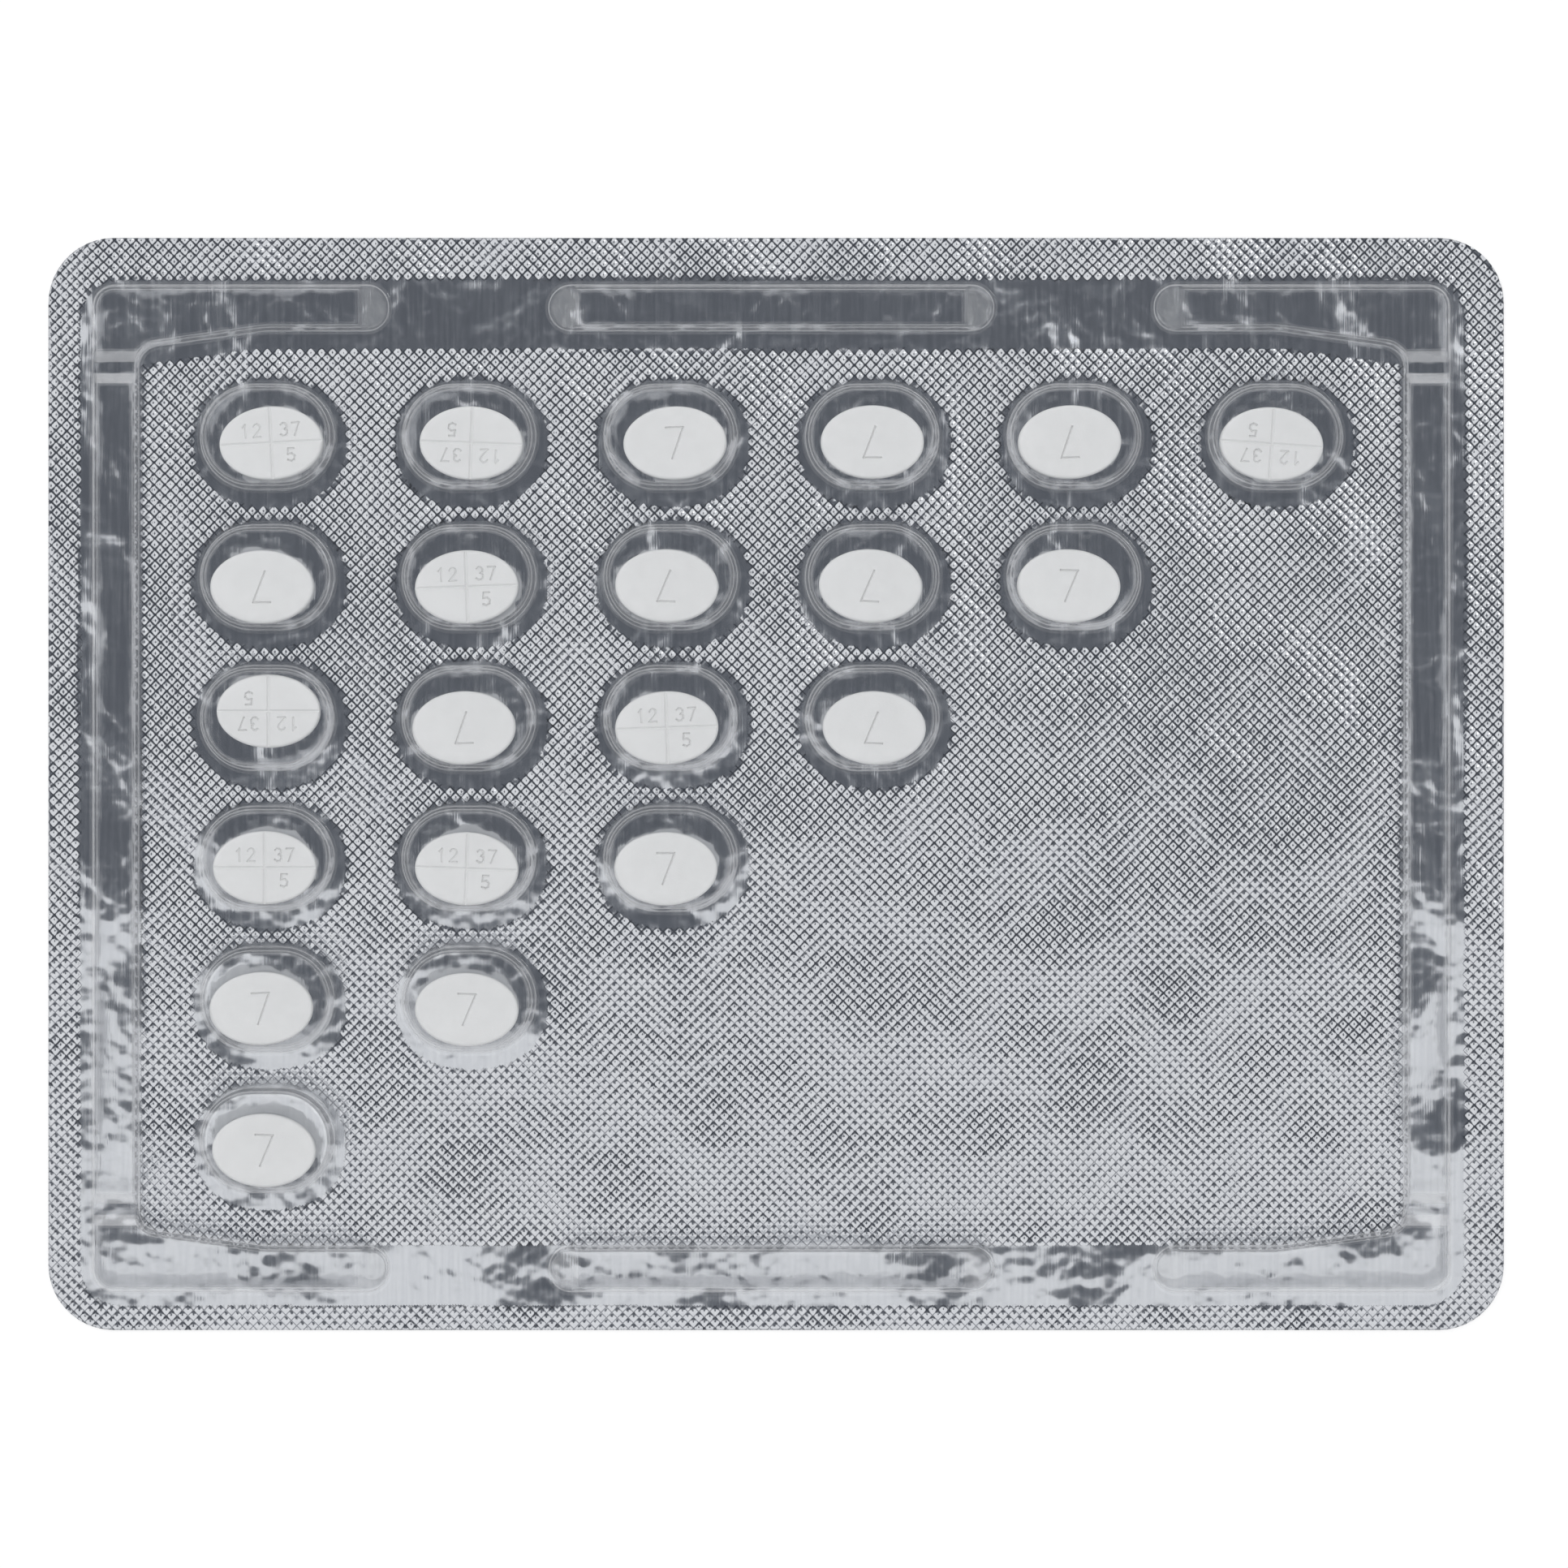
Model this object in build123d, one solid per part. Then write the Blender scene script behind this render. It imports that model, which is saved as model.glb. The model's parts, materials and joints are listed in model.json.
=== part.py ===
from build123d import *
import math
import os

# Pill blister pack: a clear formed film with a triangle of 21 pockets and a frame of stiffening
# channels, sealed to a flat foil, with one loose tablet in each pocket.
# Millimetres. The foil lies on z = 0, the pockets stand up along +Z, and rows run along X.

# Sheets
foil_thickness = 0.05
film_thickness = 0.25
card_corner_radius = 5.9

# The formed shapes sit a little off the centre of the punched card
form_shift_x = -0.43
form_shift_y = -0.40

# Pockets
pockets_in_row = (6, 5, 4, 3, 2, 1)
pocket_pitch_x = 18.2
pocket_pitch_y = 12.7
pocket_crown_radius = 0.5

# Stiffening channels around the pockets, measured outside the film where the wall meets the flange
pocket_to_channel_x = 5.55
pocket_to_channel_y = 4.8
channel_width = 4.15
channel_height = 3.4
channel_crown_radius = 0.3
channel_to_edge_x = 4.45
channel_to_edge_y = 3.85
channel_corner_radius = 2.0
arm_length = 26.7  # from the outer corner of the frame to the end of each corner channel
shoulder_reach = 15.6  # the corner channels widen from here to their corner
shoulder_drop = 1.6  # by this much
shoulder_radius = 8.0
arm_end_flat = 0.25  # between the two rounds at the end of an arm
bar_length = 40.2  # the straight channels between the arms
end_ramp = 2.6  # run of the sloping end of a channel
end_ramp_foot = 0.85  # height at which that slope starts
waist_distance = 7.5  # from the outer edge of the frame to the middle of each waist
waist_opening = 3.0  # along the channel, at the top
waist_floor = 1.0  # along the channel, at the bottom of the dip
waist_height = 1.6  # what is left of the channel's height

# Forming
draft = 4.0  # degrees, on every wall
bend_radius = 0.4  # outside, where a wall meets the flange

# Tablets
tablet_length = 9.3
tablet_width = 6.6
tablet_thickness = 3.0
tablet_bevel = 0.3
tablet_room_x = 1.15  # between a tablet in the middle of its pocket and the foot of the film
tablet_room_y = 1.2
tablet_headroom = 1.2  # between a tablet that lies on the foil and the film above it
tablet_clearance = 0.1  # least gap between a settled tablet and its pocket's wall
score_width = 0.36
score_depth = 0.16

# How each tablet has settled: its share of the free play along X and Y, its turn in degrees,
# and whether the scored face is up
settled = (
    (
        (0.5, -0.7, 3, True),
        (0.3, -0.7, 178, True),
        (0.5, -0.7, 2, False),
        (0.0, -0.6, 180, False),
        (-0.5, -0.6, 182, False),
        (-0.5, -0.8, 176, True),
    ),
    (
        (-0.5, -1.0, 180, False),
        (-0.2, -1.0, 2, True),
        (-0.4, -0.9, 178, False),
        (-0.2, -0.9, 177, False),
        (-0.6, -0.9, -2, False),
    ),
    (
        (0.2, 0.7, 180, True),
        (-0.5, -1.0, 182, False),
        (-0.4, -1.0, 2, True),
        (0.2, -1.0, 178, False),
    ),
    (
        (-0.2, -0.9, 0, True),
        (-0.2, -1.0, -2, True),
        (-0.5, -1.0, 0, False),
    ),
    (
        (-0.6, -0.9, 2, False),
        (-0.2, -1.0, -2, False),
    ),
    ((-0.3, -1.0, -2, False),),
)

# Worked out from the sizes above
flange_top = foil_thickness + film_thickness
slope = math.tan(math.radians(draft))
columns = max(pockets_in_row)
rows = len(pockets_in_row)
pocket_length = tablet_length + 2 * (tablet_room_x + film_thickness)  # outside, at the flange
pocket_width = tablet_width + 2 * (tablet_room_y + film_thickness)
pocket_height = tablet_thickness + tablet_headroom
arm_end_radius = (channel_width - arm_end_flat) / 2
array_length = (columns - 1) * pocket_pitch_x + pocket_length
array_width = (rows - 1) * pocket_pitch_y + pocket_width
frame_half_x = array_length / 2 + pocket_to_channel_x + channel_width
frame_half_y = array_width / 2 + pocket_to_channel_y + channel_width
card_length = 2 * (frame_half_x + channel_to_edge_x)
card_width = 2 * (frame_half_y + channel_to_edge_y)
form_centre = Location((form_shift_x, form_shift_y, 0))


def pocket_places():
    """Row, column and centre of every pocket, the longest row first."""
    left = -(columns - 1) * pocket_pitch_x / 2
    top = (rows - 1) * pocket_pitch_y / 2
    for row, count in enumerate(pockets_in_row):
        for column in range(count):
            place = (left + column * pocket_pitch_x, top - row * pocket_pitch_y, 0)
            yield row, column, form_centre * Location(place)


def card_sheet(bottom, thickness):
    outline = RectangleRounded(card_length, card_width, card_corner_radius)
    return extrude(Plane.XY.offset(bottom) * outline, thickness)


def pocket_form(inset, bottom, top):
    """A pocket as a solid with drafted walls: the outside, or the room inside it."""
    outline = SlotOverall(pocket_length - 2 * inset, pocket_width - 2 * inset)
    solid = extrude(Plane.XY.offset(bottom) * outline, top - bottom, taper=draft)
    return fillet(solid.edges().group_by(Axis.Z)[-1], pocket_crown_radius - inset)


def side_outline():
    """The channel that runs down the right side and turns in at both corners."""
    outer_x, inner_x = frame_half_x, frame_half_x - channel_width
    outer_y, inner_y = frame_half_y, frame_half_y - channel_width
    arm_x = frame_half_x - arm_length
    shoulder_x = frame_half_x - shoulder_reach
    upper = [
        (outer_x, outer_y),
        (arm_x, outer_y),
        (arm_x, inner_y),
        (shoulder_x, inner_y),
        (inner_x, inner_y - shoulder_drop),
    ]
    lower = [(x, -y) for x, y in reversed(upper)]
    return upper + lower


def side_face(inset):
    """The side channel's footprint with its corners rounded, set in all round by inset."""
    face = make_face(Polyline(*side_outline(), close=True))
    arm_x = frame_half_x - arm_length
    shoulder_x = frame_half_x - shoulder_reach
    for x, radius in (
        (arm_x, arm_end_radius),
        (shoulder_x, shoulder_radius),
        (frame_half_x - channel_width, channel_corner_radius),
        (frame_half_x, channel_corner_radius),
    ):
        face = fillet([v for v in face.vertices() if abs(v.X - x) < 1e-6], radius)
    return offset(face, -inset) if inset else face


def ramp_cut(end_x, direction, y, bottom, top):
    """What lies above the sloping end of a channel that ends at end_x, seen along its length."""
    start = end_x - direction * end_ramp
    tall = top + channel_height
    section = Polyline(
        (start, top),
        (end_x, bottom),
        (end_x + direction * end_ramp, bottom),
        (end_x + direction * end_ramp, tall),
        (start, tall),
        close=True,
    )
    face = make_face(Plane.XZ * section)
    wedge = extrude(face, channel_width, both=True)
    return Location((0, y, 0)) * wedge


def waist_cut(x, y, bottom, top):
    """The dip in a side channel between its long run and its corner."""
    tall = top + channel_height
    section = Polyline(
        (-waist_floor / 2, bottom),
        (waist_floor / 2, bottom),
        (waist_opening / 2, top),
        (waist_opening / 2, tall),
        (-waist_opening / 2, tall),
        (-waist_opening / 2, top),
        close=True,
    )
    wedge = extrude(make_face(Plane.YZ * section), channel_width, both=True)
    return Location((x, y, 0)) * wedge


def round_crown(solid):
    """A channel with the edges of its flat top rounded."""
    return fillet(solid.edges().group_by(Axis.Z)[-1], channel_crown_radius)


def side_channel(inset, bottom, top):
    """The right channel as a solid: the outside, or the room inside it."""
    lowered = flange_top + channel_height - top
    ramp_foot = flange_top + end_ramp_foot - lowered
    solid = extrude(Plane.XY.offset(bottom) * side_face(inset), top - bottom, taper=draft)
    arm_x = frame_half_x - arm_length + inset
    mid_x = frame_half_x - channel_width / 2
    mid_y = frame_half_y - channel_width / 2
    for side in (1, -1):
        solid -= ramp_cut(arm_x, -1, side * mid_y, ramp_foot, top)
        solid -= waist_cut(
            mid_x, side * (frame_half_y - waist_distance), flange_top + waist_height - lowered, top
        )
    return round_crown(solid)


def bar_channel(inset, bottom, top):
    """The straight channel at the middle of the upper edge."""
    lowered = flange_top + channel_height - top
    ramp_foot = flange_top + end_ramp_foot - lowered
    outline = SlotOverall(bar_length - 2 * inset, channel_width - 2 * inset)
    solid = extrude(Plane.XY.offset(bottom) * outline, top - bottom, taper=draft)
    for side in (1, -1):
        solid -= ramp_cut(side * (bar_length / 2 - inset), side, 0, ramp_foot, top)
    return round_crown(solid)


def channels(inset, bottom, top):
    """All four channels of the frame, about the centre of the forming."""
    right = side_channel(inset, bottom, top)
    upper = Location((0, frame_half_y - channel_width / 2, 0)) * bar_channel(inset, bottom, top)
    return [right, mirror(right, about=Plane.YZ), upper, mirror(upper, about=Plane.XZ)]


def blister_film():
    outside = card_sheet(foil_thickness, film_thickness)
    crown = flange_top + pocket_height
    rib_top = flange_top + channel_height
    skin_pocket = pocket_form(0, flange_top, crown)
    skins = [place * skin_pocket for _, _, place in pocket_places()]
    skins += [form_centre * c for c in channels(0, flange_top, rib_top)]
    outside = outside.fuse(*skins)
    flange = outside.faces().filter_by_position(Axis.Z, flange_top, flange_top).sort_by(SortBy.AREA)[-1]
    bends = [edge for wire in flange.inner_wires() for edge in wire.edges()]
    outside = fillet(bends, bend_radius)
    room_pocket = pocket_form(film_thickness, foil_thickness, crown - film_thickness)
    rooms = [place * room_pocket for _, _, place in pocket_places()]
    rooms += [form_centre * c for c in channels(film_thickness, foil_thickness, rib_top - film_thickness)]
    return outside.cut(*rooms)


def lidding_foil():
    return card_sheet(0, foil_thickness)


def tablet(scored_face_up):
    """One tablet about its own centre, standing on z = 0."""
    blank = extrude(Ellipse(tablet_length / 2, tablet_width / 2), tablet_thickness)
    rims = blank.edges().group_by(Axis.Z)
    blank = chamfer(list(rims[0]) + list(rims[-1]), tablet_bevel)
    groove = Polyline(
        (-score_width / 2, tablet_thickness),
        (0, tablet_thickness - score_depth),
        (score_width / 2, tablet_thickness),
        (0, tablet_thickness + score_depth),
        close=True,
    )
    blank -= extrude(make_face(Plane.XZ * groove), tablet_width, both=True)
    blank -= extrude(make_face(Plane.YZ * groove), tablet_length, both=True)
    if not scored_face_up:
        blank = Location((0, 0, tablet_thickness)) * Rotation(180, 0, 0) * blank
    return blank


def free_play():
    """How far a tablet can move along X and Y from the middle of its pocket."""
    wall = film_thickness + slope * (tablet_thickness + foil_thickness) + tablet_clearance
    play_x = (pocket_length - tablet_length) / 2 - wall
    play_y = (pocket_width - tablet_width) / 2 - wall
    return play_x, play_y


def tablets():
    """Each tablet with its name, lying on the foil where it has settled."""
    blanks = {face: tablet(face) for face in (True, False)}
    play_x, play_y = free_play()
    for row, column, place in pocket_places():
        share_x, share_y, turn, scored = settled[row][column]
        rest = Location((share_x * play_x, share_y * play_y, foil_thickness), (0, 0, turn))
        yield f"tablet_row{row + 1}_{column + 1}", place * rest * blanks[scored]


os.makedirs("parts", exist_ok=True)
export_step(blister_film(), "parts/blister_film.step")
export_step(lidding_foil(), "parts/lidding_foil.step")
for name, solid in tablets():
    export_step(solid, f"parts/{name}.step")
print(f"card {card_length:.2f} x {card_width:.2f}, tablet play {free_play()}")
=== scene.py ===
import bpy
import bmesh
import json
import math
import numpy as np
from mathutils import Matrix, Vector

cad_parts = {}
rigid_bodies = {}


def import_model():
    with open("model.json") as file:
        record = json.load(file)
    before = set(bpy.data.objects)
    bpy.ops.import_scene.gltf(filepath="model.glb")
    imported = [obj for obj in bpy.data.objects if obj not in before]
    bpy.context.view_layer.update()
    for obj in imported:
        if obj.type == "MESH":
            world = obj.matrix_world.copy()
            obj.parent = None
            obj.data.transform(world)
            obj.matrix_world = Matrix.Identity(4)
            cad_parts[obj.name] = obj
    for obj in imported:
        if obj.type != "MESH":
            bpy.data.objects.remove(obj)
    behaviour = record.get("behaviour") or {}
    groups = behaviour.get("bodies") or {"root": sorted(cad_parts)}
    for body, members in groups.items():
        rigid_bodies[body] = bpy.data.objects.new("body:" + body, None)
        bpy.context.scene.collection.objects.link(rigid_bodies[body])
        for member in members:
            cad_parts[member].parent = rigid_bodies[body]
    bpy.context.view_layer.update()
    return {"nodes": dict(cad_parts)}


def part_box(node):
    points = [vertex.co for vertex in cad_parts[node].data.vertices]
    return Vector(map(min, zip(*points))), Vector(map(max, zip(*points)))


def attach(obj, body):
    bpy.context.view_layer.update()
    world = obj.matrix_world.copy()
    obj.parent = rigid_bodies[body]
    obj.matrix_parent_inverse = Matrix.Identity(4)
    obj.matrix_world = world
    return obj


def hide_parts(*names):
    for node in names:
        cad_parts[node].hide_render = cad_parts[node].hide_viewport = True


for startingObject in list(bpy.data.objects):
    bpy.data.objects.remove(startingObject)
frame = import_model()
mm = 0.001


# small helpers

class Value:
    # one socket, so that shader maths reads as plain expressions
    def __init__(self, recipe, socket):
        self.recipe = recipe
        self.socket = socket

    def maths(self, operation, first, second=0.0):
        return self.recipe.node("Math", {"operation": operation}, {0: first, 1: second})

    def __add__(self, other):
        return self.maths("ADD", self, other)

    def __radd__(self, other):
        return self.maths("ADD", other, self)

    def __sub__(self, other):
        return self.maths("SUBTRACT", self, other)

    def __rsub__(self, other):
        return self.maths("SUBTRACT", other, self)

    def __mul__(self, other):
        return self.maths("MULTIPLY", self, other)

    def __rmul__(self, other):
        return self.maths("MULTIPLY", other, self)

    def __truediv__(self, other):
        return self.maths("DIVIDE", self, other)

    def __rtruediv__(self, other):
        return self.maths("DIVIDE", other, self)

    def __pow__(self, other):
        return self.maths("POWER", self, other)

    def __rpow__(self, other):
        return self.maths("POWER", other, self)


class Recipe:
    # the nodes of one material or world
    def __init__(self, tree):
        self.tree = tree
        tree.nodes.clear()

    def node(self, kind, settings=None, inputs=None, output=0):
        made = self.tree.nodes.new("ShaderNode" + kind)
        for name, value in (settings or {}).items():
            if name == "stops":
                self.setStops(made.color_ramp, value)
            else:
                setattr(made, name, value)
        for name, value in (inputs or {}).items():
            if isinstance(value, Value):
                self.tree.links.new(value.socket, made.inputs[name])
            else:
                made.inputs[name].default_value = value
        return Value(self, made.outputs[output]) if len(made.outputs) else made

    def setStops(self, ramp, stops):
        while len(ramp.elements) > 1:
            ramp.elements.remove(ramp.elements[0])
        for index, (place, colour) in enumerate(stops):
            stop = ramp.elements[0] if index == 0 else ramp.elements.new(place)
            stop.position = place
            stop.color = colour

    def place(self):
        # the piece's own coordinates, in millimetres
        point = self.node("TexCoord", output="Object")
        scaled = self.node("VectorMath", {"operation": "SCALE"}, {0: point, "Scale": 1 / mm})
        return scaled

    def part(self, vector, axis):
        return self.node("SeparateXYZ", {}, {0: vector}, output=axis)

    def noise(self, point, scale, detail=2.0, stretch=(1, 1, 1)):
        # stretch slows the pattern along an axis; scale is in cycles per millimetre
        stretched = self.node("VectorMath", {"operation": "MULTIPLY"}, {0: point, 1: stretch})
        return self.node("TexNoise", {}, {"Vector": stretched, "Scale": scale, "Detail": detail})

    def ramp(self, value, low, high):
        # 0 below low, 1 above high, smooth between
        settings = {"interpolation_type": "SMOOTHSTEP"}
        return self.node("MapRange", settings, {"Value": value, "From Min": low, "From Max": high})

    def blend(self, factor, first, second):
        settings = {"data_type": "RGBA"}
        return self.node("Mix", settings, {0: factor, 6: first, 7: second}, output=2)

    def bump(self, height, distance):
        # height is in millimetres
        return self.node("Bump", {}, {"Height": height, "Strength": 1.0, "Distance": distance})


def newMaterial(name):
    material = bpy.data.materials.new(name)
    material.use_nodes = True
    return material, Recipe(material.node_tree)


def meshObject(name, shape):
    mesh = bpy.data.meshes.new(name)
    shape.to_mesh(mesh)
    shape.free()
    made = bpy.data.objects.new(name, mesh)
    bpy.context.scene.collection.objects.link(made)
    return made


# the card and its seal

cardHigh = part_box("lidding_foil")[1]
card = {
    "halfLength": cardHigh.x,
    "halfWidth": cardHigh.y,
    "cornerRadius": 5.9 * mm,
    "cornerSegments": 24,
    "foilTop": cardHigh.z,
    "sheetDrop": 0.002 * mm,  # the flat sheet's top lies this far under the pressed strips
    "formShift": Vector((-0.43, -0.40)) * mm,
    "pocketsInRow": (6, 5, 4, 3, 2, 1),
    "pocketPitch": Vector((18.2, 12.7)) * mm,
}

knurl = {
    "pitch": 0.694 * mm,  # between neighbouring beads
    "turn": math.radians(45.45),
    "segments": 4,  # mesh steps across one bead
    "height": 0.14 * mm,
    "beadShare": 0.8,  # of the cell that the bead fills
    "softEdge": 0.15 * mm,
    "innerCells": 35,  # cells across each of the two middle strips
    "outerCells": 90,  # and across each of the two outer ones
    "lengthCells": 240,  # cells along every strip, enough to cross the card
    "skirt": 0.03 * mm,
    "weld": 1e-7,
    "sharpAngle": math.radians(70),
}

bareRing = {  # the smooth border under the channels
    "outerCentre": Vector((-0.35, -0.81)) * mm,
    "outerHalf": Vector((62.55, 46.4)) * mm,
    "outerRadius": 3.7 * mm,
    "innerCentre": Vector((-0.38, -1.17)) * mm,
    "innerHalf": Vector((56.9, 40.4)) * mm,
    "slantReach": 10.6 * mm,
    "slantDrop": 1.45 * mm,
}

bareOval = {  # the smooth land round each pocket
    "shift": Vector((0.22, -0.59)) * mm,
    "half": Vector((6.95, 5.85)) * mm,
    "power": 2.2,
}


def pocketCentres():
    pitch = card["pocketPitch"]
    rows = card["pocketsInRow"]
    left = -(max(rows) - 1) * pitch.x / 2 + card["formShift"].x
    top = (len(rows) - 1) * pitch.y / 2 + card["formShift"].y
    for row, count in enumerate(rows):
        for column in range(count):
            yield left + column * pitch.x, top - row * pitch.y


def outsideRounded(x, y, halfX, halfY, radius):
    # distance outside a rounded rectangle, negative within it
    overX = np.abs(x) - halfX + radius
    overY = np.abs(y) - halfY + radius
    beyond = np.hypot(np.maximum(overX, 0), np.maximum(overY, 0))
    return beyond + np.minimum(np.maximum(overX, overY), 0) - radius


def outsideInner(x, y):
    half = bareRing["innerHalf"]
    reach, drop = bareRing["slantReach"], bareRing["slantDrop"]
    length = math.hypot(reach, drop)
    slant = (np.abs(x) - half.x + reach) * drop / length + (np.abs(y) - half.y) * reach / length
    return np.maximum(np.maximum(np.abs(x) - half.x, np.abs(y) - half.y), slant)


def knurled(x, y):
    # 1 where the seal plate has pressed its pattern, 0 on the smooth land
    outer, inner = bareRing["outerCentre"], bareRing["innerCentre"]
    half = bareRing["outerHalf"]
    beyond = outsideRounded(x - outer.x, y - outer.y, half.x, half.y, bareRing["outerRadius"])
    away = np.maximum(beyond, -outsideInner(x - inner.x, y - inner.y))
    oval, power = bareOval["half"], bareOval["power"]
    for centreX, centreY in pocketCentres():
        overX = np.abs(x - centreX - bareOval["shift"].x) / oval.x
        overY = np.abs(y - centreY - bareOval["shift"].y) / oval.y
        away = np.minimum(away, ((overX**power + overY**power) ** (1 / power) - 1) * oval.y)
    share = np.clip(away / knurl["softEdge"], 0, 1)
    return share * share * (3 - 2 * share)


def beadHeight(along, across):
    # one low rounded peak in the middle of each cell
    peak = 1.0
    for place in (along, across):
        offset = 2 * (place / knurl["pitch"] - np.floor(place / knurl["pitch"])) - 1
        reach = np.clip(np.abs(offset) / knurl["beadShare"], 0, 1)
        peak = peak * np.cos(reach * math.pi / 2) ** 2
    return peak * knurl["height"]


def knurlStrip(name, firstCell, cells, material):
    step = knurl["pitch"] / knurl["segments"]
    long, wide = knurl["lengthCells"] * knurl["segments"], cells * knurl["segments"]
    shape = bmesh.new()
    bmesh.ops.create_grid(shape, x_segments=long, y_segments=wide, size=0.5)
    grow = Matrix.Diagonal((long * step, wide * step, 1, 1))
    move = Matrix.Translation((0, (firstCell + cells / 2) * knurl["pitch"], card["foilTop"]))
    turn = Matrix.Rotation(knurl["turn"], 4, "Z")
    bmesh.ops.transform(shape, matrix=turn @ move @ grow, verts=shape.verts)
    strip = meshObject(name, shape)

    points = np.empty(len(strip.data.vertices) * 3)
    strip.data.vertices.foreach_get("co", points)
    points = points.reshape(-1, 3)
    x, y = points[:, 0].copy(), points[:, 1].copy()
    cosTurn, sinTurn = math.cos(knurl["turn"]), math.sin(knurl["turn"])
    pressed = knurled(x, y)
    points[:, 2] += beadHeight(x * cosTurn + y * sinTurn, y * cosTurn - x * sinTurn) * pressed

    outside = outsideRounded(x, y, card["halfLength"], card["halfWidth"], card["cornerRadius"])
    kept = (pressed > 0) & (outside < 0)
    coreX = np.clip(x, card["cornerRadius"] - card["halfLength"], card["halfLength"] - card["cornerRadius"])
    coreY = np.clip(y, card["cornerRadius"] - card["halfWidth"], card["halfWidth"] - card["cornerRadius"])
    distance = np.maximum(np.hypot(x - coreX, y - coreY), 1e-9)  # never quite zero
    pull = np.where(outside > 0, card["cornerRadius"] / distance, 1)
    points[:, 0] = coreX + (x - coreX) * pull
    points[:, 1] = coreY + (y - coreY) * pull
    points[:, 2] = np.where(outside > 0, card["foilTop"], points[:, 2])
    strip.data.vertices.foreach_set("co", points.ravel())

    shape = bmesh.new()
    shape.from_mesh(strip.data)
    shape.verts.ensure_lookup_table()
    keep = kept.tolist()
    spare = [face for face in shape.faces if not any(keep[corner.index] for corner in face.verts)]
    bmesh.ops.delete(shape, geom=spare, context="FACES")
    bmesh.ops.remove_doubles(shape, verts=shape.verts, dist=knurl["weld"])
    rim = [edge for edge in shape.edges if edge.is_boundary]
    walls = bmesh.ops.extrude_edge_only(shape, edges=rim)["geom"]
    lower = [item for item in walls if isinstance(item, bmesh.types.BMVert)]
    for corner in lower:
        corner.co.z = card["foilTop"] - knurl["skirt"]
    rim = [edge for edge in shape.edges if edge.is_boundary]
    bmesh.ops.triangle_fill(shape, use_beauty=False, edges=rim)
    for face in shape.faces:
        face.smooth = True
    shape.to_mesh(strip.data)
    shape.free()
    strip.data.set_sharp_from_angle(angle=knurl["sharpAngle"])
    strip.data.materials.append(material)
    return strip


def foilSheet(material, backMaterial):
    shape = bmesh.new()
    bmesh.ops.create_grid(shape, x_segments=1, y_segments=1, size=1)
    bmesh.ops.scale(shape, vec=(card["halfLength"], card["halfWidth"], 1), verts=shape.verts)
    bmesh.ops.bevel(
        shape, geom=list(shape.verts), offset=card["cornerRadius"], offset_type="OFFSET",
        affect="VERTICES", segments=card["cornerSegments"], profile=0.5, material=-1,
    )
    bottom = list(shape.faces)
    raised = bmesh.ops.extrude_face_region(shape, geom=bottom, use_keep_orig=True)["geom"]
    raisedVerts = [item for item in raised if isinstance(item, bmesh.types.BMVert)]
    top = card["foilTop"] - card["sheetDrop"]
    bmesh.ops.translate(shape, vec=(0, 0, top), verts=raisedVerts)
    bmesh.ops.recalc_face_normals(shape, faces=shape.faces)
    for face in shape.faces:
        face.material_index = 1 if face.normal.z < -0.5 else 0
    sheet = meshObject("foil_sheet", shape)
    sheet.data.materials.append(material)
    sheet.data.materials.append(backMaterial)
    return sheet


# foil finish

foilLook = {
    "colour": (0.85, 0.865, 0.89, 1),
    "dullColour": (0.80, 0.815, 0.845, 1),
    # painted shade: the dark colour laid into the valleys between the beads
    "paintedValleyShade": (0.30, 0.31, 0.34, 1),
    "roughness": 0.13,
    "tilt": 0.128,  # how far the lower half of the card leans, as a slope
    "tiltMiddle": -6.0,  # millimetres along Y where that lean sets in
    "tiltWidth": 9.0,
    "swell": 0.75,  # heights of the soft waves, the wrinkles and the rolling streaks, in millimetres
    "wrinkle": 0.135,
    "streak": 0.0060,
    "swellScale": 0.14,  # and their cycles per millimetre
    "wrinkleScale": 0.50,
    "streakScale": 6.0,
    "shadeScale": 2.6,  # of the rolling streaks in the colour
    "shadeRange": (0.35, 0.65),
    "shadeRoughness": 0.12,
    "swellStretch": (1, 0.8, 1),
    "rolled": (1, 0.05, 1),  # draws a pattern out along Y, as rolling does
    "paintedShadeWidth": 0.12,  # of the painted shade in the valleys between beads, as a share of the pitch
}


def cellEdge(recipe, x, y):
    # 0 on the lines between beads, 0.5 in the middle of a bead
    pitch = knurl["pitch"] / mm
    cosTurn, sinTurn = math.cos(knurl["turn"]), math.sin(knurl["turn"])
    along = (x * cosTurn + y * sinTurn) / pitch
    across = (y * cosTurn - x * sinTurn) / pitch
    edges = []
    for value in (along, across):
        folded = recipe.node("Math", {"operation": "FRACT"}, {0: value})
        edges.append(0.5 - recipe.node("Math", {"operation": "ABSOLUTE"}, {0: folded - 0.5}))
    return recipe.node("Math", {"operation": "MINIMUM"}, {0: edges[0], 1: edges[1]})


def foilHeight(recipe, point, y):
    # the slow lean of the card, then soft wrinkles, then rolling streaks along Y
    look = foilLook
    grown = recipe.node("Math", {"operation": "EXPONENT"}, {0: (look["tiltMiddle"] - y) / look["tiltWidth"]})
    lean = recipe.node("Math", {"operation": "LOGARITHM"}, {0: grown + 1.0, 1: math.e})
    height = lean * (-look["tilt"] * look["tiltWidth"])
    height = height + recipe.noise(point, look["swellScale"], 0.0, look["swellStretch"]) * look["swell"]
    height = height + recipe.noise(point, look["wrinkleScale"], 1.0) * look["wrinkle"]
    height = height + recipe.noise(point, look["streakScale"], 1.0, look["rolled"]) * look["streak"]
    return height


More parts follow.
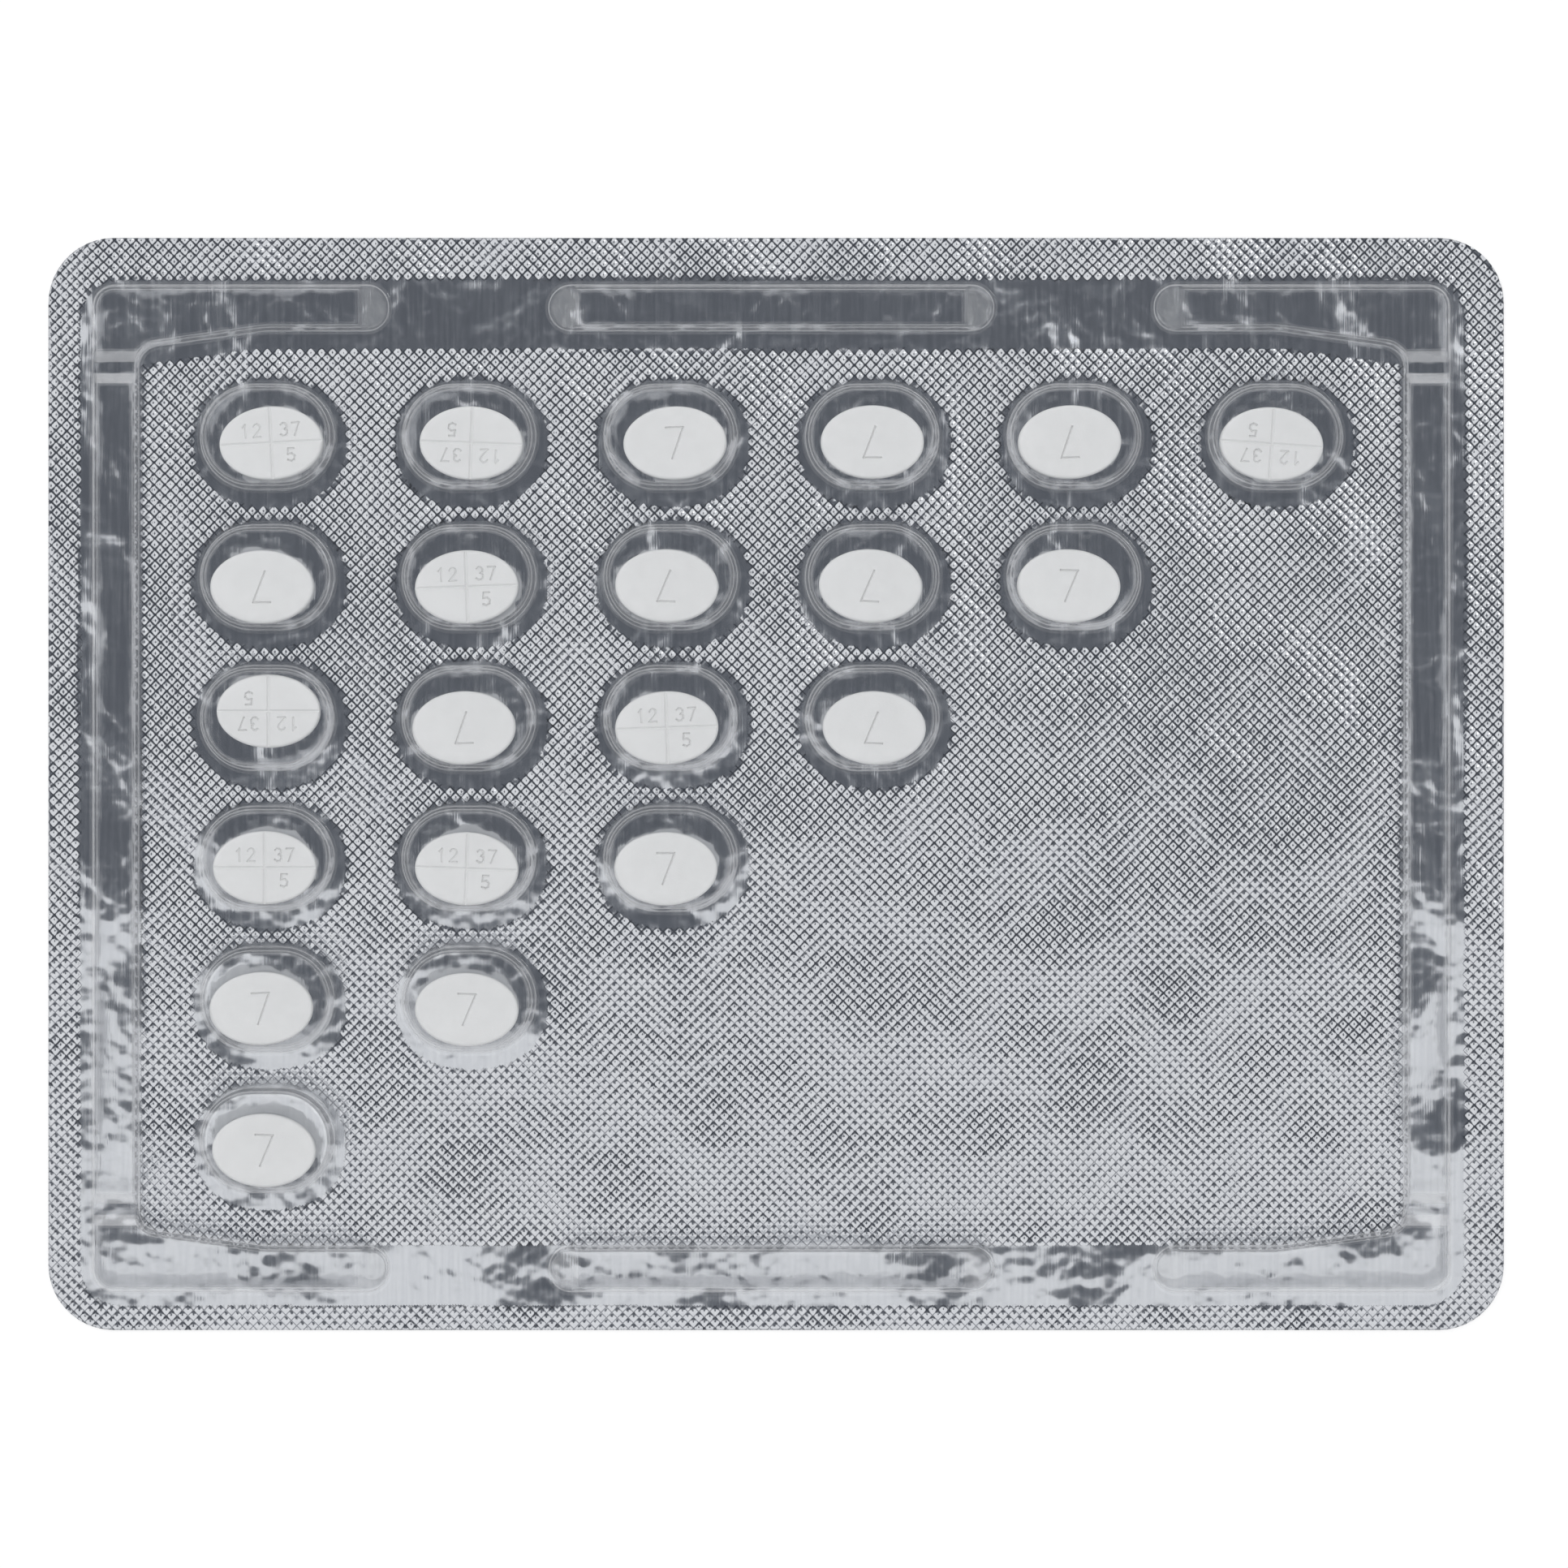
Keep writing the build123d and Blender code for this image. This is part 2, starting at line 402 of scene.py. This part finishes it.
def foilMaterial(name, pressed):
    material, recipe = newMaterial(name)
    point = recipe.place()
    x, y = recipe.part(point, "X"), recipe.part(point, "Y")
    streak = recipe.noise(point, foilLook["shadeScale"], 1.0, foilLook["rolled"])
    shade = recipe.ramp(streak, *foilLook["shadeRange"])
    colour = recipe.blend(shade, foilLook["dullColour"], foilLook["colour"])
    if pressed:
        # painted shade: the base colour darkens towards the valleys between the beads
        valleyShadeMask = recipe.ramp(cellEdge(recipe, x, y), 0.0, foilLook["paintedShadeWidth"])
        colour = recipe.blend(valleyShadeMask, foilLook["paintedValleyShade"], colour)
    roughness = foilLook["roughness"] + (streak - 0.5) * foilLook["shadeRoughness"]
    normal = recipe.bump(foilHeight(recipe, point, y), mm)
    inputs = {"Base Color": colour, "Metallic": 1.0, "Roughness": roughness, "Normal": normal}
    surface = recipe.node("BsdfPrincipled", {}, inputs)
    recipe.node("OutputMaterial", {}, {"Surface": surface})
    return material


foilBack = {
    "colour": (0.75, 0.76, 0.78, 1),
    "dullColour": (0.66, 0.67, 0.69, 1),
    "roughness": 0.30,
    "mottleRoughness": 0.1,
    "mottleScale": 0.3,
    "mottleRange": (0.3, 0.7),
    "mottle": 0.25,  # heights in millimetres
    "knurl": -0.10,
    "knurlEdge": 0.45,
}


def foilBackMaterial():
    # the same knurl as it shows through on the underside
    material, recipe = newMaterial("foil_back")
    point = recipe.place()
    x, y = recipe.part(point, "X"), recipe.part(point, "Y")
    edge = cellEdge(recipe, x, y)
    mottle = recipe.noise(point, foilBack["mottleScale"], 3.0)
    shade = recipe.ramp(mottle, *foilBack["mottleRange"])
    colour = recipe.blend(shade, foilBack["dullColour"], foilBack["colour"])
    height = recipe.ramp(edge, 0.0, foilBack["knurlEdge"]) * foilBack["knurl"]
    height = height + (mottle - 0.5) * foilBack["mottle"]
    roughness = foilBack["roughness"] + (mottle - 0.5) * foilBack["mottleRoughness"]
    normal = recipe.bump(height, mm)
    inputs = {"Base Color": colour, "Metallic": 1.0, "Roughness": roughness, "Normal": normal}
    surface = recipe.node("BsdfPrincipled", {}, inputs)
    recipe.node("OutputMaterial", {}, {"Surface": surface})
    return material


# the film's finish

filmLook = {
    "clear": (0.985, 0.988, 0.99, 1),
    "white": (0.93, 0.935, 0.94, 1),
    "paintedWallShade": (0.50, 0.51, 0.53, 1),  # painted shade: a darker grey on the drafted walls, seen edge on
    "steepNormal": (0.06, 0.14),  # upward share of the normal there and on the rounded edges
    "roughness": 0.03,
    "cleanWall": 0.25,  # the share of the shine that is a clean reflection; the rest is a white haze
    "cleanFlat": 0.92,
    "flatNormal": (0.55, 0.95),
    "least": 0.05,
    "rise": 0.80,
    "power": 2.0,
    "wave": 0.03,  # height of the film's slight waviness in millimetres, and its cycles per millimetre
    "waveScale": 0.6,
}


def filmMaterial():
    material, recipe = newMaterial("clear_film")
    point = recipe.place()
    normal = recipe.bump(recipe.noise(point, filmLook["waveScale"], 1.0) * filmLook["wave"], mm)
    upward = recipe.part(recipe.node("NewGeometry", output="Normal"), "Z")
    upward = recipe.node("Math", {"operation": "ABSOLUTE"}, {0: upward})
    # painted shade: the base colour turns darker grey where the film stands steep, and stays white elsewhere
    body = recipe.blend(recipe.ramp(upward, *filmLook["steepNormal"]), filmLook["paintedWallShade"], filmLook["white"])
    gain = filmLook["cleanFlat"] - filmLook["cleanWall"]
    clean = filmLook["cleanWall"] + recipe.ramp(upward, *filmLook["flatNormal"]) * gain
    clear = recipe.node("BsdfTransparent", {}, {"Color": filmLook["clear"]})
    inputs = {
        "Base Color": body, "Roughness": filmLook["roughness"],
        "Metallic": clean, "Normal": normal,
    }
    shine = recipe.node("BsdfPrincipled", {}, inputs)
    facing = recipe.node("LayerWeight", {}, {"Blend": 0.5}, output="Facing")
    share = filmLook["least"] + facing ** filmLook["power"] * filmLook["rise"]
    surface = recipe.node("MixShader", {}, {0: share, 1: clear, 2: shine})
    recipe.node("OutputMaterial", {}, {"Surface": surface})
    return material


# tablets

tablet = {
    "length": 9.3 * mm,
    "width": 6.6 * mm,
    "thickness": 3.0 * mm,
    "bevel": 0.3 * mm,
    "segments": 96,
    "bevelSegments": 5,
    "sharpAngle": math.radians(32),
    "scoreWidth": 0.34 * mm,
    "scoreDepth": 0.16 * mm,
    "markWidth": 0.22 * mm,
    "markDepth": 0.13 * mm,
    "depthStep": 0.012,  # how much deeper each cut goes than the one before
    "markSpacing": 0.95,  # between neighbouring numerals, as a share of their height
    "smallMark": 1.15 * mm,
    "largeMark": 2.8 * mm,
    "quarter": (1.75 * mm, 1.15 * mm),  # from the middle to the middle of a quarter
    "colour": (0.88, 0.88, 0.875, 1),
    "dullColour": (0.855, 0.855, 0.85, 1),
    "roughness": 0.82,
    "grainRoughness": 0.15,
    "shine": 0.3,
    "grain": 0.020,  # height in millimetres
    "grainScale": 9.0,
    "mottleScale": 0.8,
    "mottleRange": (0.3, 0.7),
}

# each tablet's turn in degrees and whether its scored face is up
settled = (
    ((3, True), (178, True), (2, False), (180, False), (182, False), (176, True)),
    ((180, False), (2, True), (178, False), (177, False), (-2, False)),
    ((180, True), (182, False), (2, True), (178, False)),
    ((0, True), (-2, True), (0, False)),
    ((2, False), (-2, False)),
    ((-2, False),),
)


def tabletMaterial():
    material, recipe = newMaterial("pressed_tablet")
    point = recipe.place()
    grain = recipe.noise(point, tablet["grainScale"], 3.0)
    mottle = recipe.noise(point, tablet["mottleScale"], 2.0)
    shade = recipe.ramp(mottle, *tablet["mottleRange"])
    colour = recipe.blend(shade, tablet["dullColour"], tablet["colour"])
    normal = recipe.bump((grain - 0.5) * tablet["grain"], mm)
    inputs = {
        "Base Color": colour, "Roughness": tablet["roughness"] + (grain - 0.5) * tablet["grainRoughness"],
        "Specular IOR Level": tablet["shine"], "Normal": normal,
    }
    surface = recipe.node("BsdfPrincipled", {}, inputs)
    recipe.node("OutputMaterial", {}, {"Surface": surface})
    return material


def tabletBody():
    shape = bmesh.new()
    bmesh.ops.create_circle(shape, cap_ends=True, segments=tablet["segments"], radius=0.5)
    bmesh.ops.scale(shape, vec=(tablet["length"], tablet["width"], 1), verts=shape.verts)
    raised = bmesh.ops.extrude_face_region(shape, geom=list(shape.faces), use_keep_orig=True)["geom"]
    raisedVerts = [item for item in raised if isinstance(item, bmesh.types.BMVert)]
    bmesh.ops.translate(shape, vec=(0, 0, tablet["thickness"]), verts=raisedVerts)
    bmesh.ops.translate(shape, vec=(0, 0, -tablet["thickness"] / 2), verts=shape.verts)
    rims = [edge for edge in shape.edges if abs(edge.verts[0].co.z - edge.verts[1].co.z) < 1e-7]
    bmesh.ops.bevel(
        shape, geom=rims, offset=tablet["bevel"], offset_type="OFFSET",
        affect="EDGES", segments=tablet["bevelSegments"], profile=0.5, material=-1,
    )
    bmesh.ops.recalc_face_normals(shape, faces=shape.faces)
    return meshObject("tablet_body", shape)


def groove(start, end, width, depth, back=False):
    # a ridge from start to end whose edge lies depth under the face
    shape = bmesh.new()
    bmesh.ops.create_cube(shape, size=1)
    path = Vector(end) - Vector(start)
    # a little longer than the stroke, wide above the face and nearly an edge at its foot
    for corner in shape.verts:
        high = corner.co.z > 0
        corner.co.x *= path.length + width * 0.6
        corner.co.y = math.copysign(width * (0.96 if high else 0.04), corner.co.y)
        corner.co.z = depth if high else -depth
    middle = (Vector(start) + Vector(end)) / 2
    place = Matrix.Translation((middle.x, middle.y, tablet["thickness"] / 2))
    place = place @ Matrix.Rotation(math.atan2(path.y, path.x), 4, "Z")
    if back:
        place = Matrix.Rotation(math.pi, 4, "X") @ place
    bmesh.ops.transform(shape, matrix=place, verts=shape.verts)
    return meshObject("groove", shape)


def arc(x, y, radius, first, last, steps=5):
    angles = [math.radians(first + (last - first) * step / steps) for step in range(steps + 1)]
    return [(x + radius * math.cos(angle), y + radius * math.sin(angle)) for angle in angles]


# plain numerals as strokes, one unit tall
numerals = {
    "1": [(-0.16, 0.28), (0.04, 0.5), (0.04, -0.5)],
    "2": arc(0, 0.24, 0.26, 165, -35) + [(-0.28, -0.5), (0.28, -0.5)],
    "3": arc(0, 0.25, 0.25, 150, -70) + arc(0, -0.21, 0.29, 70, -150),
    "5": [(0.24, 0.5), (-0.2, 0.5), (-0.24, 0.06)] + arc(-0.02, -0.19, 0.31, 125, -140),
    "7": [(-0.28, 0.5), (0.28, 0.5), (-0.1, -0.5)],
}


def numeralCutters(text, size, x, y, back=False):
    cutters = []
    for index, letter in enumerate(text):
        shift = (index - (len(text) - 1) / 2) * size * tablet["markSpacing"]
        points = [(x + shift + across * size, y + up * size) for across, up in numerals[letter]]
        for start, end in zip(points, points[1:]):
            cutters.append(groove(start, end, tablet["markWidth"], tablet["markDepth"], back))
    return cutters


def cutAway(body, cutters):
    # each cut goes a little deeper than the last, so that no two floors lie in one plane
    for index, cutter in enumerate(cutters):
        deeper = 1 + tablet["depthStep"] * index
        for corner in cutter.data.vertices:
            face = math.copysign(tablet["thickness"] / 2, corner.co.z)
            corner.co.z = face + (corner.co.z - face) * deeper
        carve = body.modifiers.new("carve", "BOOLEAN")
        carve.operation = "DIFFERENCE"
        carve.solver = "EXACT"
        carve.object = cutter
    bpy.context.view_layer.update()
    graph = bpy.context.evaluated_depsgraph_get()
    mesh = bpy.data.meshes.new_from_object(body.evaluated_get(graph))
    for spent in [body] + cutters:
        bpy.data.objects.remove(spent)
    return mesh


def tabletMesh(material):
    body = tabletBody()
    quarterX, quarterY = tablet["quarter"]
    score = (tablet["scoreWidth"], tablet["scoreDepth"])
    cutters = [
        groove((-tablet["length"] * 0.6, 0), (tablet["length"] * 0.6, 0), *score),
        groove((0, -tablet["width"] * 0.6), (0, tablet["width"] * 0.6), *score),
    ]
    cutters += numeralCutters("12", tablet["smallMark"], -quarterX, quarterY)
    cutters += numeralCutters("37", tablet["smallMark"], quarterX, quarterY)
    cutters += numeralCutters("5", tablet["smallMark"], quarterX, -quarterY)
    cutters += numeralCutters("7", tablet["largeMark"], 0, 0, back=True)
    mesh = cutAway(body, cutters)
    print("tablet has", len(mesh.polygons), "faces")
    mesh.materials.clear()
    mesh.materials.append(material)
    for face in mesh.polygons:
        face.use_smooth = True
    mesh.set_sharp_from_angle(angle=tablet["sharpAngle"])
    return mesh


def placeTablets(material):
    base = tabletMesh(material)
    for row, places in enumerate(settled, start=1):
        for column, (turn, scoredUp) in enumerate(places, start=1):
            node = f"tablet_row{row}_{column}"
            low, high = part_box(node)
            place = Matrix.Translation((low + high) / 2) @ Matrix.Rotation(math.radians(turn), 4, "Z")
            if not scoredUp:
                place = place @ Matrix.Rotation(math.pi, 4, "X")
            mesh = base.copy()
            mesh.transform(place)
            piece = bpy.data.objects.new(f"pressed_{node}", mesh)
            bpy.context.scene.collection.objects.link(piece)
            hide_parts(node)
            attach(piece, "root")


# studio

studio = {
    "cameraHeight": 1.3,
    "frameWidth": 0.1416,
    "lookAt": Vector((0.00071, 0)),
    "sky": 0.86,
    "overhead": (0.105, 0.113, 0.130, 1),
    "overheadEdge": (math.cos(math.radians(16)), math.cos(math.radians(12))),
    "horizon": (0.30, 0.31, 0.335, 1),  # what gloss sees near the horizon, all round
    "horizonEdge": (math.cos(math.radians(84)), math.cos(math.radians(44))),
    "key": ((-0.42, 0.46, 0.75), 0.22, 2.0, False),  # place, size, power, and whether gloss mirrors it
    "rim": ((0.34, 0.30, 0.62), 0.10, 0.16, True),
    "floorHalf": 3.0,
    "floorDrop": 0.02 * mm,
    "floorColour": (0.93, 0.93, 0.93, 1),
    "floorGlow": 1.06,
    "glowShare": 0.6,
    "openReach": 0.5 * mm,  # rays shorter than this pass through the floor
}


def makeCamera():
    lens = bpy.data.cameras.new("camera")
    lens.angle = 2 * math.atan(studio["frameWidth"] / 2 / studio["cameraHeight"])
    lens.clip_start = 0.01
    camera = bpy.data.objects.new("camera", lens)
    camera.location = (studio["lookAt"].x, studio["lookAt"].y, studio["cameraHeight"])
    bpy.context.scene.collection.objects.link(camera)
    bpy.context.scene.camera = camera


def makeSky():
    # white all round; gloss alone sees a small dark patch overhead and a grey band at the horizon
    world = bpy.data.worlds.new("sky")
    bpy.context.scene.world = world
    world.use_nodes = True
    recipe = Recipe(world.node_tree)
    direction = recipe.node("TexCoord", output="Generated")
    overhead = recipe.ramp(recipe.part(direction, "Z"), *studio["overheadEdge"])
    glossy = recipe.node("LightPath", output="Is Glossy Ray")
    seen = recipe.node("LightPath", output="Is Camera Ray")
    steepness = recipe.node("Math", {"operation": "ABSOLUTE"}, {0: recipe.part(direction, "Z")})
    low = 1.0 - recipe.ramp(steepness, *studio["horizonEdge"])
    white = (studio["sky"], studio["sky"], studio["sky"] * 1.01, 1)
    colour = recipe.blend(low * glossy, white, studio["horizon"])
    colour = recipe.blend(overhead * glossy, colour, studio["overhead"])
    colour = recipe.blend(seen, colour, (1, 1, 1, 1))
    background = recipe.node("Background", {}, {"Color": colour, "Strength": 1.0})
    recipe.node("OutputWorld", {}, {"Surface": background})


def areaLamp(name, place, size, power, mirrored):
    lamp = bpy.data.lights.new(name, "AREA")
    lamp.size = size
    lamp.energy = power
    holder = bpy.data.objects.new(name, lamp)
    holder.location = place
    holder.rotation_euler = (-Vector(place)).to_track_quat("-Z", "Y").to_euler()
    holder.visible_glossy = mirrored
    bpy.context.scene.collection.objects.link(holder)


def makeFloor():
    shape = bmesh.new()
    bmesh.ops.create_grid(shape, x_segments=1, y_segments=1, size=studio["floorHalf"])
    bmesh.ops.translate(shape, vec=(0, 0, -studio["floorDrop"]), verts=shape.verts)
    floor = meshObject("floor", shape)
    material, recipe = newMaterial("floor")
    matt = recipe.node("BsdfDiffuse", {}, {"Color": studio["floorColour"]})
    glow = recipe.node("Emission", {}, {"Color": (1, 1, 1, 1), "Strength": studio["floorGlow"]})
    seen = recipe.node("LightPath", output="Is Camera Ray")
    for other in ("Is Glossy Ray", "Is Transmission Ray"):
        ray = recipe.node("LightPath", output=other)
        seen = recipe.node("Math", {"operation": "MAXIMUM"}, {0: seen, 1: ray})
    surface = recipe.node("MixShader", {}, {0: seen * studio["glowShare"], 1: matt, 2: glow})
    # open to whatever looks up from below and to the shortest rays, so the foil's back can be seen
    below = recipe.node("NewGeometry", output="Backfacing")
    travelled = recipe.node("LightPath", output="Ray Length")
    near = recipe.node("Math", {"operation": "LESS_THAN"}, {0: travelled, 1: studio["openReach"]})
    passing = recipe.node("Math", {"operation": "MAXIMUM"}, {0: below, 1: near})
    clear = recipe.node("BsdfTransparent", {}, {})
    surface = recipe.node("MixShader", {}, {0: passing, 1: surface, 2: clear})
    recipe.node("OutputMaterial", {}, {"Surface": surface})
    floor.data.materials.append(material)


# putting it together

makeCamera()
makeSky()
makeFloor()
for lampName in ("key", "rim"):
    areaLamp(lampName, *studio[lampName])
print("studio ready")

film = frame["nodes"]["blister_film"]
film.data.materials.clear()
film.data.materials.append(filmMaterial())
print("film finished")

pressedFoil = foilMaterial("pressed_foil", True)
sheet = foilSheet(foilMaterial("smooth_foil", False), foilBackMaterial())
foilPieces = [sheet]
inner, outer = knurl["innerCells"], knurl["outerCells"]
strips = ((-inner - outer, outer), (-inner, inner), (0, inner), (inner, outer))
for index, (firstCell, cells) in enumerate(strips, start=1):
    foilPieces.append(knurlStrip(f"foil_knurl_{index}", firstCell, cells, pressedFoil))
    print("knurl strip", index, "has", len(foilPieces[-1].data.polygons), "faces")
for piece in foilPieces:
    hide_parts("lidding_foil")
    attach(piece, "root")
print("foil finished")

placeTablets(tabletMaterial())
print("tablets placed")

scene = bpy.context.scene
scene.view_settings.view_transform = "Standard"
scene.cycles.transparent_max_bounces = 24
scene.cycles.max_bounces = 4
scene.cycles.diffuse_bounces = 2
scene.cycles.glossy_bounces = 2
